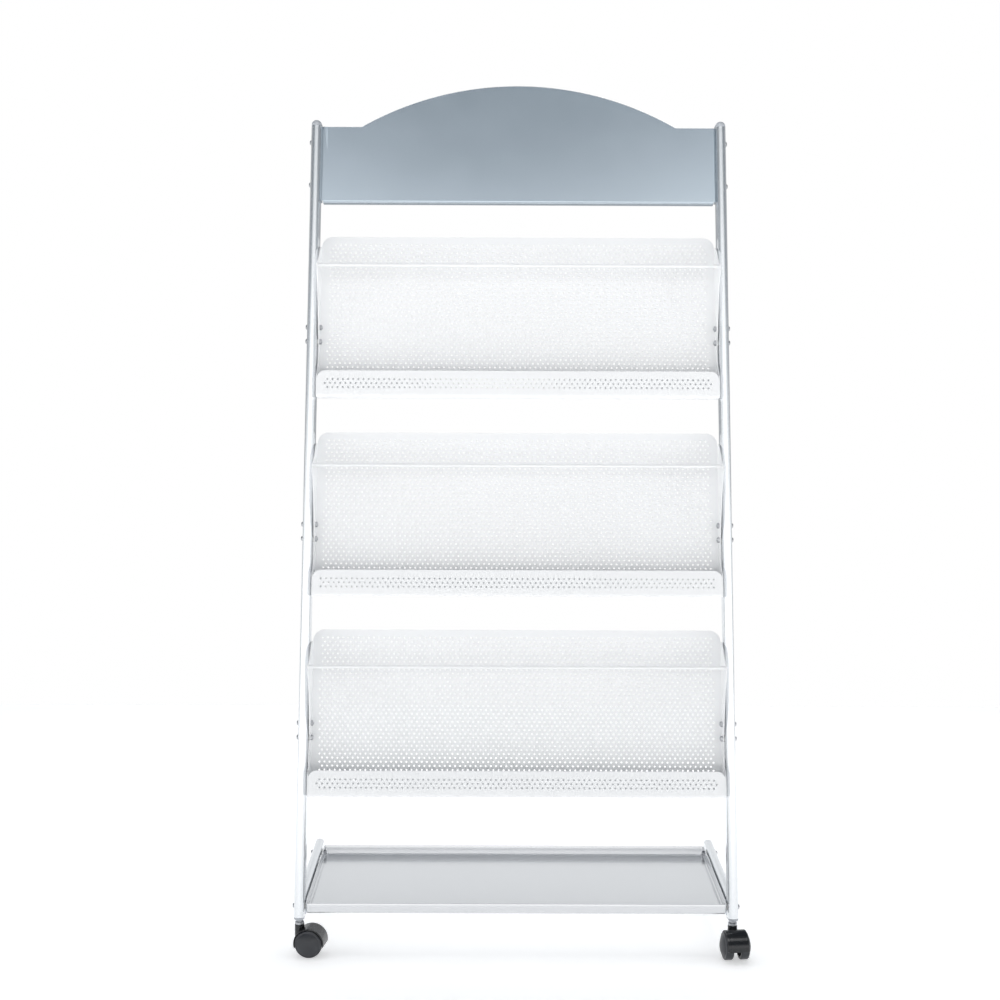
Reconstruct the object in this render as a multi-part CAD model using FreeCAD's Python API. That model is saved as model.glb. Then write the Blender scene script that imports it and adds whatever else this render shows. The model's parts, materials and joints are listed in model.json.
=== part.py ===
import FreeCAD, Part
import math
import os

from FreeCAD import Placement, Rotation, Vector

# ---------------------------------------------------------------------------
# Mobile newspaper and magazine rack.  All lengths in millimetres.
# +Z up, +X to the right of a reader, +Y away from the reader.
# The floor is Z = 0 and the rack's plane of symmetry is X = 0.
# ---------------------------------------------------------------------------

# Side frames: flat-oval steel tube, leaning back and closing in towards the top.
LEG_SPACING = 630.0         # between the legs' centre lines at their feet
LEG_LEAN = 8.0              # degrees, backwards from vertical
LEG_SPLAY = 0.86            # degrees, each leg inwards
LEG_LENGTH = 1162.0         # along the leg, foot plug's underside to the tube's upper end
TUBE_WIDTH = 15.0           # across the rack
TUBE_DEPTH = 30.0           # front to back
TUBE_WALL = 1.8
FOOT_Z = 52.0               # underside of the foot plugs above the floor
FOOT_Y = -129.5             # legs' centre line at the foot
RAIL_BOTTOM = 52.0
RAIL_LENGTH = 298.0         # leg's centre line to the rear cap's tip
REAR_STEM_Y = 278.0         # leg's centre line to the rear caster stems
CAP_DOME = 8.0
FOOT_DOME = 4.0
RAIL_CAP_DOME = 5.0
FOOT_PLUG_DEPTH = 24.0
CAP_PLUG_DEPTH = 15.0
RAIL_CAP_DEPTH = 8.0
RAIL_COPE_START = 9.5       # rail's coped end begins this far behind the leg's centre line
SOCKET_RADIUS = 5.2         # bush inside the rail for the rear caster stems
SOCKET_COLLAR_RADIUS = 7.0
SOCKET_BOTTOM = 49.5
SOCKET_TOP = 77.0

# Header board: folded sheet with an arched top.
HEADER_FACE = 10.0          # front face ahead of the leg's centre line
HEADER_SHEET = 1.5
HEADER_BOTTOM = 1047.5      # along the leg
HEADER_SHOULDER = 1159.5
HEADER_ARCH_CHORD = 462.0
HEADER_ARCH_RISE = 61.5
HEADER_SIDE_FLANGE = 20.0
HEADER_BOTTOM_FLANGE = 17.0
HEADER_BEND = 3.0
HEADER_BOLT_HEIGHTS = (1075.0, 1138.0)

# Magazine pockets.
TIER_NAMES = ("lower", "middle", "upper")
TIER_PITCH = 290.0
TIER_BOTTOM = 180.0         # lowest pocket's underside along the leg
POCKET_SHEET = 1.2
POCKET_BACK = -9.0          # front face of the back panel; negative is behind the leg's centre
POCKET_FRONT = 26.0         # front face of the lip
POCKET_HEIGHT = 240.0
LIP_HEIGHT = 38.0
POCKET_BEND = 4.0
PANEL_CORNER = 16.0
LIP_CORNER = 12.0
WING_GAP = 1.5              # between the leg's inner face and the end plate
WIRE_RADIUS = 2.25
WIRE_FRONT = 47.0
WIRE_HEIGHT = 189.0
WIRE_STANDOUT = 1.0
POCKET_BOLT_HEIGHTS = (83.2, 104.2)

# Outline of an end plate: ahead of the leg's centre line, above the pocket's underside.
WING_BACK_RADIUS = 5.0
WING_FRONT_RADIUS = 8.0
WING_TOP = 224.0
WING_CURVE = (
    (26.0, 26.0), (24.0, 33.5), (17.5, 38.8), (10.5, 46.0), (6.4, 57.0), (5.2, 70.0),
    (6.6, 83.0), (11.0, 95.0), (20.0, 119.0), (29.0, 143.0), (41.0, 166.0), (50.0, 179.0),
    (53.2, 185.5), (51.8, 191.0), (46.5, 194.6), (40.0, 197.2), (27.0, 206.5), (17.0, 216.5),
    (6.0, 222.6), (-4.0, 224.0),
)

# Bottom tray: folded sheet between the base rails.
TRAY_WIDTH = 611.0
TRAY_FRONT = -8.0           # lip's front face from the leg's centre line at the foot
TRAY_DEPTH = 280.0
TRAY_BOTTOM = 63.0
TRAY_TOP = 78.0
TRAY_SHEET = 1.2
TRAY_CORNER = 5.0
TRAY_BEND = 3.0
TRAY_BOLT_Z = 71.5
TRAY_BOLT_YS = (2.6, 256.0)

# Button-head screws and hexagon nuts.
SCREW_RADIUS = 2.0
SCREW_HEAD_RADIUS = 3.8
SCREW_HEAD_HEIGHT = 2.8
NUT_FLATS = 7.0
NUT_HEIGHT = 3.2
NUT_CHAMFER = 2.8
SCREW_TIP = 1.0
WASHER_RADIUS = 4.5
HOLE_CLEARANCE = 0.2
SOCKET_FLATS = 2.5
SOCKET_DEPTH = 1.4

# Twin-wheel swivel casters.
WHEEL_RADIUS = 20.0
WHEEL_INNER_FACE = 5.5      # from the caster's middle plane
WHEEL_SHOULDER = 17.5
WHEEL_OUTER_FACE = 22.3
WHEEL_EDGE = 2.0
WHEEL_HUB_RADIUS = 6.5
WHEEL_RIM_RADIUS = 15.5
WHEEL_RECESS = 7.5
WHEEL_DOME_RADIUS = 17.0
CASTER_TRAIL = 16.3
HOOD_RADIUS = 22.5
HOOD_WALL = 1.5
HOOD_HALF_WIDTH = 15.5
HOOD_SKIRT_Z = 15.4          # on the axle's plane
HOOD_SKIRT_SLOPE = 4.7      # degrees, rising towards the trailing end
HOOD_EDGE = 1.2
WEB_HALF_WIDTH = 5.0
NECK_RADIUS = 7.0
NECK_TOP = 44.5
STEM_RADIUS = 4.0
STEM_BOTTOM = 26.5
STEM_TOP = 67.5
STEM_COLLAR_RADIUS = 6.5
STEM_COLLAR_Z = (45.5, 48.5)
STEM_CHAMFER = 0.6
STEM_END_GAP = 0.5
AXLE_RADIUS = 3.0
AXLE_HALF_LENGTH = 16.5
RUNNING_CLEARANCE = 0.05
BORE_END_GAP = 0.7

# Each caster's resting heading: the direction its wheels trail, in degrees from +X.
CASTER_HEADINGS = {
    "front_left": -8.0,
    "front_right": -83.0,
    "rear_left": 3.0,
    "rear_right": 176.0,
}

SIDES = {"left": -1, "right": 1}
X_AXIS = Vector(1, 0, 0)
Y_AXIS = Vector(0, 1, 0)
Z_AXIS = Vector(0, 0, 1)
EPSILON = 0.01


def export(name, shapes):
    """Writes one sub-part from a solid or a list of separate solids."""
    if not isinstance(shapes, list):
        shapes = [shapes]
    solids = [solid for shape in shapes for solid in shape.Solids]
    out = solids[0] if len(solids) == 1 else Part.makeCompound(solids)
    out.exportStep(os.path.join("parts", name + ".step"))


def tier_frame():
    """Frame that leans with the legs on the plane of symmetry: Z up the lean, -Y forwards."""
    return Placement(Vector(0, FOOT_Y, FOOT_Z), Rotation(X_AXIS, -LEG_LEAN))


def leg_frame(side):
    """Frame of one leg: Z along its centre line, X across the rack, -Y forwards."""
    base = Vector(side * LEG_SPACING / 2, FOOT_Y, FOOT_Z)
    return Placement(base, Rotation(X_AXIS, -LEG_LEAN).multiply(Rotation(Y_AXIS, -side * LEG_SPLAY)))


def placed(shape, placement):
    out = shape.copy()
    out.Placement = placement.multiply(out.Placement)
    return out


def half_width(height, inset):
    """Half the rack's clear width at a height in the tier frame, inset from the legs' centre lines."""
    splay = math.radians(LEG_SPLAY)
    return LEG_SPACING / 2 - inset / math.cos(splay) - height * math.tan(splay)


def block(x0, y0, z0, x1, y1, z1):
    return Part.makeBox(x1 - x0, y1 - y0, z1 - z0, Vector(x0, y0, z0))


def prism(points, direction):
    """Straight prism on a closed polygon."""
    return Part.Face(Part.makePolygon(points + [points[0]])).extrude(direction)


def edges_where(shape, test):
    return [edge for edge in shape.Edges if test(edge)]


def flat_oval(width, depth, height, z=0.0):
    """Upright bar of flat-oval section, centred on the Z axis, its long side along Y."""
    r = width / 2
    half = depth / 2 - r
    wire = Part.Wire([
        Part.makeLine(Vector(r, -half, z), Vector(r, half, z)),
        Part.Arc(Vector(r, half, z), Vector(0, half + r, z), Vector(-r, half, z)).toShape(),
        Part.makeLine(Vector(-r, half, z), Vector(-r, -half, z)),
        Part.Arc(Vector(-r, -half, z), Vector(0, -half - r, z), Vector(r, -half, z)).toShape(),
    ])
    return Part.Face(wire).extrude(Vector(0, 0, height))


def tube_bore(height, z):
    return flat_oval(TUBE_WIDTH - 2 * TUBE_WALL, TUBE_DEPTH - 2 * TUBE_WALL, height, z)


def domed_plug(dome, depth):
    """Plug for a tube end at Z = 0: shank downwards inside the tube, rounded cap above it."""
    cap = flat_oval(TUBE_WIDTH, TUBE_DEPTH, dome)
    rim = edges_where(cap, lambda e: e.BoundBox.ZMin > dome - EPSILON)
    cap = cap.makeFillet(min(dome, TUBE_WIDTH / 2) * 0.85, rim)
    return cap.fuse(tube_bore(depth, -depth)).removeSplitter()


def hexagon(flats, height):
    radius = flats / math.sqrt(3)
    angles = [math.radians(60 * i) for i in range(6)]
    return prism([Vector(radius * math.cos(a), radius * math.sin(a), 0) for a in angles],
                 Vector(0, 0, height))


def screw(length):
    """Button-head screw on the Z axis: head above Z = 0, shank below it."""
    head = Part.makeCylinder(SCREW_HEAD_RADIUS, SCREW_HEAD_HEIGHT)
    rim = edges_where(head, lambda e: e.BoundBox.ZMin > SCREW_HEAD_HEIGHT - EPSILON)
    head = head.makeFillet(SCREW_HEAD_HEIGHT * 0.85, rim)
    shank = Part.makeCylinder(SCREW_RADIUS, length, Vector(0, 0, -length))
    socket = placed(hexagon(SOCKET_FLATS, SOCKET_DEPTH), Placement(
        Vector(0, 0, SCREW_HEAD_HEIGHT - SOCKET_DEPTH), Rotation()))
    return head.fuse(shank).removeSplitter().cut(socket)


def nut():
    """Hexagon nut on the Z axis, standing on Z = 0."""
    cone = Part.makeCone(NUT_FLATS / 2 + NUT_CHAMFER, NUT_FLATS / 2, NUT_HEIGHT)
    return hexagon(NUT_FLATS, NUT_HEIGHT).common(cone).cut(Part.makeCylinder(SCREW_RADIUS, NUT_HEIGHT))


def washer(thickness):
    return Part.makeCylinder(WASHER_RADIUS, thickness).cut(Part.makeCylinder(SCREW_RADIUS, thickness))


def across(x, y, z, outward):
    """Frame on a side face: Z points outwards along X, outward is +1 or -1."""
    return Placement(Vector(x, y, z), Rotation(Y_AXIS, 90 * outward))


# ---------------------------------------------------------------------------
# Side frames
# ---------------------------------------------------------------------------

def leg_holes():
    """Heights along the leg of every screw that crosses it, pockets and header."""
    heights = [TIER_BOTTOM + TIER_PITCH * tier + h
               for tier in range(len(TIER_NAMES)) for h in POCKET_BOLT_HEIGHTS]
    return heights + list(HEADER_BOLT_HEIGHTS)


def cross_hole(placement):
    """Clearance hole for a screw through a whole tube."""
    reach = 2 * TUBE_WIDTH
    return placed(Part.makeCylinder(SCREW_RADIUS + HOLE_CLEARANCE, 2 * reach, Vector(0, 0, -reach)),
                  placement)


def tray_bolt_frames(side):
    """Frames of the tray's two screws on one side, origin on the tube's centre line."""
    centres = (half_width(TRAY_BOLT_Z - FOOT_Z, 0.0), LEG_SPACING / 2)
    return [across(side * x, FOOT_Y + y, TRAY_BOLT_Z, side) for x, y in zip(centres, TRAY_BOLT_YS)]


def leg_tube(side):
    length = LEG_LENGTH - FOOT_DOME
    tube = flat_oval(TUBE_WIDTH, TUBE_DEPTH, length, FOOT_DOME).cut(tube_bore(length, FOOT_DOME))
    for height in leg_holes():
        tube = tube.cut(cross_hole(across(0, 0, height, side)))
    tube = placed(tube, leg_frame(side))
    return tube.cut(cross_hole(tray_bolt_frames(side)[0]))


def rail_frame(side):
    """Frame of a base rail: Z runs backwards along it, its long side stands upright."""
    return Placement(Vector(side * LEG_SPACING / 2, FOOT_Y, RAIL_BOTTOM + TUBE_DEPTH / 2),
                     Rotation(X_AXIS, -90))


def rear_stem(side):
    return Vector(side * LEG_SPACING / 2, FOOT_Y + REAR_STEM_Y, 0)


def base_rail(side):
    length = RAIL_LENGTH - RAIL_CAP_DOME
    rail = placed(flat_oval(TUBE_WIDTH, TUBE_DEPTH, length).cut(tube_bore(length, 0)), rail_frame(side))
    leg = placed(flat_oval(TUBE_WIDTH, TUBE_DEPTH, LEG_LENGTH - FOOT_DOME, FOOT_DOME), leg_frame(side))
    ahead = block(-TUBE_DEPTH, -TUBE_DEPTH, -TUBE_DEPTH, TUBE_DEPTH, RAIL_COPE_START, 4 * TUBE_DEPTH)
    foot = placed(flat_oval(TUBE_WIDTH, TUBE_DEPTH, 2 * FOOT_DOME, -FOOT_DOME), leg_frame(side))
    rail = rail.cut(placed(ahead, leg_frame(side))).cut(leg).cut(foot)
    rail = rail.cut(cross_hole(tray_bolt_frames(side)[1]))
    hole = Part.makeCylinder(SOCKET_RADIUS, TUBE_DEPTH / 2, rear_stem(side) + Vector(0, 0, SOCKET_BOTTOM))
    return max(rail.cut(hole).Solids, key=lambda solid: solid.Volume)


def foot_plug(side):
    """Domed plug in the lower end of a leg, bored upright for the caster's stem."""
    turned = Placement(Vector(0, 0, FOOT_DOME), Rotation(X_AXIS, 180))
    plug = placed(domed_plug(FOOT_DOME, FOOT_PLUG_DEPTH), leg_frame(side).multiply(turned))
    plug = plug.cut(cross_hole(tray_bolt_frames(side)[0]))
    base = Vector(side * LEG_SPACING / 2, FOOT_Y, 0)
    return plug.cut(Part.makeCylinder(STEM_RADIUS, STEM_TOP, base))


def leg_cap(side):
    end = Placement(Vector(0, 0, LEG_LENGTH), Rotation())
    return placed(domed_plug(CAP_DOME, CAP_PLUG_DEPTH), leg_frame(side).multiply(end))


def rail_cap(side):
    end = Placement(Vector(0, 0, RAIL_LENGTH - RAIL_CAP_DOME), Rotation())
    return placed(domed_plug(RAIL_CAP_DOME, RAIL_CAP_DEPTH), rail_frame(side).multiply(end))


def rear_socket(side):
    """Bush through the rail's underside with a collar shaped to the rail."""
    bush = Part.makeCylinder(SOCKET_RADIUS, SOCKET_TOP - SOCKET_BOTTOM,
                             rear_stem(side) + Vector(0, 0, SOCKET_BOTTOM))
    collar = Part.makeCylinder(SOCKET_COLLAR_RADIUS, RAIL_BOTTOM + TUBE_WIDTH / 2 - SOCKET_BOTTOM,
                               rear_stem(side) + Vector(0, 0, SOCKET_BOTTOM))
    collar = collar.cut(placed(flat_oval(TUBE_WIDTH, TUBE_DEPTH, RAIL_LENGTH), rail_frame(side)))
    bore = Part.makeCylinder(STEM_RADIUS, STEM_TOP, rear_stem(side))
    return bush.fuse(collar).removeSplitter().cut(bore)


# ---------------------------------------------------------------------------
# Header board
# ---------------------------------------------------------------------------

def trapezoid(low, high, inset, y):
    """Corners of a panel between the legs, from low to high, at depth y in the tier frame."""
    lower = half_width(low, inset)
    upper = half_width(high, inset)
    return [Vector(-lower, y, low), Vector(lower, y, low), Vector(upper, y, high), Vector(-upper, y, high)]


def header_panel():
    inset = TUBE_WIDTH / 2
    front = -HEADER_FACE
    outer = prism(trapezoid(HEADER_BOTTOM, HEADER_SHOULDER, inset, front), Vector(0, HEADER_SIDE_FLANGE, 0))
    inner = prism(trapezoid(HEADER_BOTTOM + HEADER_SHEET, HEADER_SHOULDER + HEADER_SHEET,
                            inset + HEADER_SHEET, front + HEADER_SHEET),
                  Vector(0, 2 * HEADER_SIDE_FLANGE, 0))

    def folded(solid, face, radius, top):
        folds = edges_where(solid, lambda e: abs(e.BoundBox.YMin - face) < EPSILON
                            and abs(e.BoundBox.YMax - face) < EPSILON
                            and e.BoundBox.ZMin < top)
        return solid.makeFillet(radius, folds)

    outer = folded(outer, front, HEADER_BEND, HEADER_SHOULDER - EPSILON)
    inner = folded(inner, front + HEADER_SHEET, HEADER_BEND - HEADER_SHEET, HEADER_SHOULDER)
    shell = outer.cut(inner)
    reach = half_width(HEADER_BOTTOM, inset + HEADER_SHEET)
    shell = shell.cut(block(-reach, front + HEADER_BOTTOM_FLANGE, HEADER_BOTTOM - HEADER_SHEET,
                            reach, front + 2 * HEADER_SIDE_FLANGE, HEADER_BOTTOM + 2 * HEADER_SHEET))
    half = HEADER_ARCH_CHORD / 2
    left = Vector(-half, front, HEADER_SHOULDER)
    right = Vector(half, front, HEADER_SHOULDER)
    crown = Vector(0, front, HEADER_SHOULDER + HEADER_ARCH_RISE)
    root = Vector(0, 0, -HEADER_BEND)
    arch = Part.Face(Part.Wire([
        Part.Arc(left, crown, right).toShape(),
        Part.makeLine(right, right + root),
        Part.makeLine(right + root, left + root),
        Part.makeLine(left + root, left),
    ])).extrude(Vector(0, HEADER_SHEET, 0))
    panel = placed(shell.fuse(arch).removeSplitter(), tier_frame())
    for side in SIDES.values():
        for height in HEADER_BOLT_HEIGHTS:
            panel = panel.cut(cross_hole(leg_frame(side).multiply(across(0, 0, height, side))))
    return panel


def header_fixings():
    """Screws and nuts that hold the header between the legs."""
    length = TUBE_WIDTH + HEADER_SHEET + NUT_HEIGHT + SCREW_TIP
    screws = []
    nuts = []
    for side in SIDES.values():
        for height in HEADER_BOLT_HEIGHTS:
            head = leg_frame(side).multiply(across(side * TUBE_WIDTH / 2, 0, height, side))
            seat = leg_frame(side).multiply(
                across(-side * (TUBE_WIDTH / 2 + HEADER_SHEET), 0, height, -side))
            screws.append(placed(screw(length), head))
            nuts.append(placed(nut(), seat))
    return screws, nuts


# ---------------------------------------------------------------------------
# Magazine pockets
# ---------------------------------------------------------------------------

def tier_base(tier):
    return TIER_BOTTOM + TIER_PITCH * tier


def pocket_sheet(tier):
    """Back panel, bottom and front lip in one folded sheet between the end plates."""
    base = tier_base(tier)
    top = base + POCKET_HEIGHT
    inset = TUBE_WIDTH / 2 + WING_GAP + POCKET_SHEET
    rear = -POCKET_BACK + POCKET_SHEET
    front = -POCKET_FRONT
    outline = prism(trapezoid(base, top, inset, front), Vector(0, rear - front, 0))
    folds = edges_where(outline, lambda e: e.BoundBox.ZMax < base + EPSILON and e.BoundBox.YLength < EPSILON)
    outline = outline.makeFillet(POCKET_BEND, folds)
    reach = LEG_SPACING / 2
    hollow = block(-reach, front + POCKET_SHEET, base + POCKET_SHEET, reach, -POCKET_BACK, top + POCKET_BEND)
    folds = edges_where(hollow, lambda e: e.BoundBox.ZMax < base + POCKET_SHEET + EPSILON
                        and e.BoundBox.YLength < EPSILON)
    hollow = hollow.makeFillet(POCKET_BEND - POCKET_SHEET, folds)
    above_lip = block(-reach, front - POCKET_BEND, base + LIP_HEIGHT, reach, -POCKET_BACK, top + POCKET_BEND)
    sheet = outline.cut(hollow).cut(above_lip)
    for height, radius in ((top, PANEL_CORNER), (base + LIP_HEIGHT, LIP_CORNER)):
        corners = edges_where(sheet, lambda e: abs(e.BoundBox.ZMin - height) < EPSILON
                              and abs(e.BoundBox.ZMax - height) < EPSILON
                              and abs(e.Length - POCKET_SHEET) < EPSILON)
        sheet = sheet.makeFillet(radius, corners)
    return placed(sheet, tier_frame())


def wing_outline():
    """Closed outline of an end plate in its own plane: X ahead of the leg, Y up the leg."""
    rear = POCKET_BACK - POCKET_SHEET
    curve = Part.BSplineCurve()
    curve.interpolate([Vector(n, h, 0) for n, h in WING_CURVE])
    slope = 1 - math.sqrt(0.5)
    r = WING_BACK_RADIUS
    q = WING_FRONT_RADIUS
    start = Vector(rear, WING_TOP, 0)
    back_low = Vector(rear, r, 0)
    low_back = Vector(rear + r, 0, 0)
    low_front = Vector(POCKET_FRONT - q, 0, 0)
    front_low = Vector(POCKET_FRONT, q, 0)
    first = Vector(WING_CURVE[0][0], WING_CURVE[0][1], 0)
    last = Vector(WING_CURVE[-1][0], WING_CURVE[-1][1], 0)
    return Part.Wire([
        Part.makeLine(start, back_low),
        Part.Arc(back_low, Vector(rear + r * slope, r * slope, 0), low_back).toShape(),
        Part.makeLine(low_back, low_front),
        Part.Arc(low_front, Vector(POCKET_FRONT - q * slope, q * slope, 0), front_low).toShape(),
        Part.makeLine(front_low, first),
        curve.toShape(),
        Part.makeLine(last, start),
    ])


def pocket_wing(tier, side):
    """End plate of a pocket, parallel to its leg, holed for the screws and the wire."""
    plate = Part.Face(wing_outline()).extrude(Vector(0, 0, POCKET_SHEET))
    upright = Rotation(Vector(0, -1, 0), Z_AXIS, Vector(-1, 0, 0), "XYZ")
    face = TUBE_WIDTH / 2 + WING_GAP
    nearest = -face if side > 0 else face + POCKET_SHEET
    plate = placed(plate, Placement(Vector(nearest, 0, tier_base(tier)), upright))
    for height in POCKET_BOLT_HEIGHTS:
        plate = plate.cut(cross_hole(across(0, 0, tier_base(tier) + height, side)))
    return placed(plate, leg_frame(side)).cut(pocket_wire(tier))


def pocket_wire(tier):
    """Straight front wire that keeps the magazines upright."""
    height = tier_base(tier) + WIRE_HEIGHT
    reach = half_width(height, TUBE_WIDTH / 2 + WING_GAP) + WIRE_STANDOUT
    wire = Part.makeCylinder(WIRE_RADIUS, 2 * reach, Vector(-reach, -WIRE_FRONT, height), X_AXIS)
    return placed(wire, tier_frame())


def pocket_fixings(tier):
    """Screws, nuts and spacing washers that hold one pocket between the legs."""
    length = TUBE_WIDTH + WING_GAP + POCKET_SHEET + NUT_HEIGHT + SCREW_TIP
    screws = []
    nuts = []
    washers = []
    for side in SIDES.values():
        for bolt in POCKET_BOLT_HEIGHTS:
            height = tier_base(tier) + bolt
            face = TUBE_WIDTH / 2
            head = leg_frame(side).multiply(across(side * face, 0, height, side))
            seat = leg_frame(side).multiply(across(-side * face, 0, height, -side))
            plate = leg_frame(side).multiply(across(-side * (face + WING_GAP + POCKET_SHEET), 0, height, -side))
            screws.append(placed(screw(length), head))
            washers.append(placed(washer(WING_GAP), seat))
            nuts.append(placed(nut(), plate))
    return screws, nuts, washers


# ---------------------------------------------------------------------------
# Bottom tray
# ---------------------------------------------------------------------------

def tray_block(margin, top):
    """Rounded block: the tray's outside, or its inside when margin is the sheet's thickness."""
    half = TRAY_WIDTH / 2 - margin
    front = FOOT_Y + TRAY_FRONT + margin
    rear = FOOT_Y + TRAY_FRONT + TRAY_DEPTH - margin
    bottom = TRAY_BOTTOM + margin
    solid = block(-half, front, bottom, half, rear, top)
    posts = edges_where(solid, lambda e: e.BoundBox.ZLength > EPSILON)
    solid = solid.makeFillet(TRAY_CORNER - margin, posts)
    folds = edges_where(solid, lambda e: e.BoundBox.ZMax < bottom + EPSILON)
    return solid.makeFillet(TRAY_BEND - margin, folds)


def tray():
    shell = tray_block(0.0, TRAY_TOP).cut(tray_block(TRAY_SHEET, TRAY_TOP + TRAY_BEND))
    for side in SIDES.values():
        for frame in tray_bolt_frames(side):
            shell = shell.cut(cross_hole(frame))
    return shell


def tray_fixings():
    """Screws, nuts and spacers between the tray and the side frames."""
    wall = TRAY_WIDTH / 2 - TRAY_SHEET
    screws = []
    nuts = []
    spacers = []
    for side in SIDES.values():
        for frame in tray_bolt_frames(side):
            tube = abs(frame.Base.x)
            lean = SCREW_HEAD_RADIUS * math.tan(math.radians(LEG_SPLAY))
            outer = tube + TUBE_WIDTH / 2 + lean
            gap = tube - TUBE_WIDTH / 2 - TRAY_WIDTH / 2 - 2 * lean
            y = frame.Base.y
            head = across(side * outer, y, TRAY_BOLT_Z, side)
            spacer = across(side * TRAY_WIDTH / 2, y, TRAY_BOLT_Z, side)
            seat = across(side * wall, y, TRAY_BOLT_Z, -side)
            screws.append(placed(screw(outer - wall + NUT_HEIGHT + SCREW_TIP), head))
            spacers.append(placed(washer(gap), spacer))
            nuts.append(placed(nut(), seat))
    return screws, nuts, spacers


# ---------------------------------------------------------------------------
# Casters.  Own frame: stem on the Z axis, wheels trailing along +X, axle along Y.
# ---------------------------------------------------------------------------

def caster_frame(name):
    end, hand = name.split("_")
    side = SIDES[hand]
    y = FOOT_Y if end == "front" else FOOT_Y + REAR_STEM_Y
    return Placement(Vector(side * LEG_SPACING / 2, y, 0), Rotation(Z_AXIS, CASTER_HEADINGS[name]))


def axle_cylinder(radius, half_length):
    return Part.makeCylinder(radius, 2 * half_length, Vector(CASTER_TRAIL, -half_length, WHEEL_RADIUS), Y_AXIS)


def caster_stem():
    low, high = STEM_COLLAR_Z
    stem = Part.makeCylinder(STEM_RADIUS, STEM_TOP - STEM_BOTTOM, Vector(0, 0, STEM_BOTTOM))
    tips = edges_where(stem, lambda e: e.BoundBox.ZLength < EPSILON)
    stem = stem.makeChamfer(STEM_CHAMFER, tips)
    return stem.fuse(Part.makeCylinder(STEM_COLLAR_RADIUS, high - low, Vector(0, 0, low))).removeSplitter()


def caster_body():
    """Hood over both wheels, the web between them and the neck that turns on the stem."""
    hood = axle_cylinder(HOOD_RADIUS, HOOD_HALF_WIDTH)
    rims = edges_where(hood, lambda e: e.BoundBox.YLength < EPSILON and e.Length > HOOD_RADIUS)
    hood = hood.makeFillet(HOOD_EDGE, rims)
    neck = Part.makeCylinder(NECK_RADIUS, NECK_TOP - WHEEL_RADIUS, Vector(0, 0, WHEEL_RADIUS))
    shell = hood.fuse(neck).cut(axle_cylinder(HOOD_RADIUS - HOOD_WALL, 2 * HOOD_HALF_WIDTH))
    body = shell.fuse(axle_cylinder(HOOD_RADIUS - HOOD_WALL / 2, WEB_HALF_WIDTH)).removeSplitter()
    reach = 2 * HOOD_RADIUS
    skirt = block(-reach, -reach, -reach, reach, reach, HOOD_SKIRT_Z)
    slope = Rotation(Y_AXIS, -HOOD_SKIRT_SLOPE)
    pivot = Placement(Vector(CASTER_TRAIL, 0, 0), Rotation())
    back = Placement(Vector(-CASTER_TRAIL, 0, 0), Rotation())
    tilt = Placement(Vector(0, 0, HOOD_SKIRT_Z), slope)
    drop = Placement(Vector(0, 0, -HOOD_SKIRT_Z), Rotation())
    skirt = placed(skirt, pivot.multiply(tilt).multiply(drop).multiply(back))
    body = body.cut(skirt)
    bore = Part.makeCylinder(STEM_RADIUS + RUNNING_CLEARANCE, NECK_TOP,
                             Vector(0, 0, STEM_BOTTOM - STEM_END_GAP))
    return body.cut(bore).cut(axle_cylinder(AXLE_RADIUS, HOOD_HALF_WIDTH))


def caster_wheel(hand):
    """Wheel with a domed outer face; hand is +1 or -1 for the side of the web it runs on."""
    bore = AXLE_RADIUS + RUNNING_CLEARANCE
    edge = WHEEL_EDGE
    inner = WHEEL_INNER_FACE
    slope = 1 - math.sqrt(0.5)

    def at(radius, width):
        return Vector(radius, hand * width, 0)

    hub_depth = inner + WHEEL_RECESS
    bore_end = AXLE_HALF_LENGTH + BORE_END_GAP
    tread = WHEEL_RADIUS
    dome = WHEEL_DOME_RADIUS
    rise = WHEEL_OUTER_FACE - WHEEL_SHOULDER
    sphere = (dome ** 2 + rise ** 2) / (2 * rise)
    swell = WHEEL_OUTER_FACE - sphere + math.sqrt(sphere ** 2 - (dome / 2) ** 2)
    lines = [
        (at(bore, inner), at(WHEEL_HUB_RADIUS, inner)),
        (at(WHEEL_HUB_RADIUS, inner), at(WHEEL_HUB_RADIUS, hub_depth)),
        (at(WHEEL_HUB_RADIUS, hub_depth), at(WHEEL_RIM_RADIUS, hub_depth)),
        (at(WHEEL_RIM_RADIUS, hub_depth), at(WHEEL_RIM_RADIUS, inner)),
        (at(WHEEL_RIM_RADIUS, inner), at(tread - edge, inner)),
        (at(tread, inner + edge), at(tread, WHEEL_SHOULDER - edge)),
        (at(tread - edge, WHEEL_SHOULDER), at(dome, WHEEL_SHOULDER)),
        (at(0, WHEEL_OUTER_FACE), at(0, bore_end)),
        (at(0, bore_end), at(bore, bore_end)),
        (at(bore, bore_end), at(bore, inner)),
    ]
    arcs = [
        (at(tread - edge, inner), at(tread - edge * slope, inner + edge * slope), at(tread, inner + edge)),
        (at(tread, WHEEL_SHOULDER - edge), at(tread - edge * slope, WHEEL_SHOULDER - edge * slope),
         at(tread - edge, WHEEL_SHOULDER)),
        (at(dome, WHEEL_SHOULDER), at(dome / 2, swell), at(0, WHEEL_OUTER_FACE)),
    ]
    edges = [Part.makeLine(a, b) for a, b in lines] + [Part.Arc(a, b, c).toShape() for a, b, c in arcs]
    profile = Part.Face(Part.Wire(Part.__sortEdges__(edges)))
    wheel = profile.revolve(Vector(), Y_AXIS, 360)
    return placed(wheel, Placement(Vector(CASTER_TRAIL, 0, WHEEL_RADIUS), Rotation()))


# ---------------------------------------------------------------------------
# All sub-parts
# ---------------------------------------------------------------------------

os.makedirs("parts", exist_ok=True)

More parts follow.
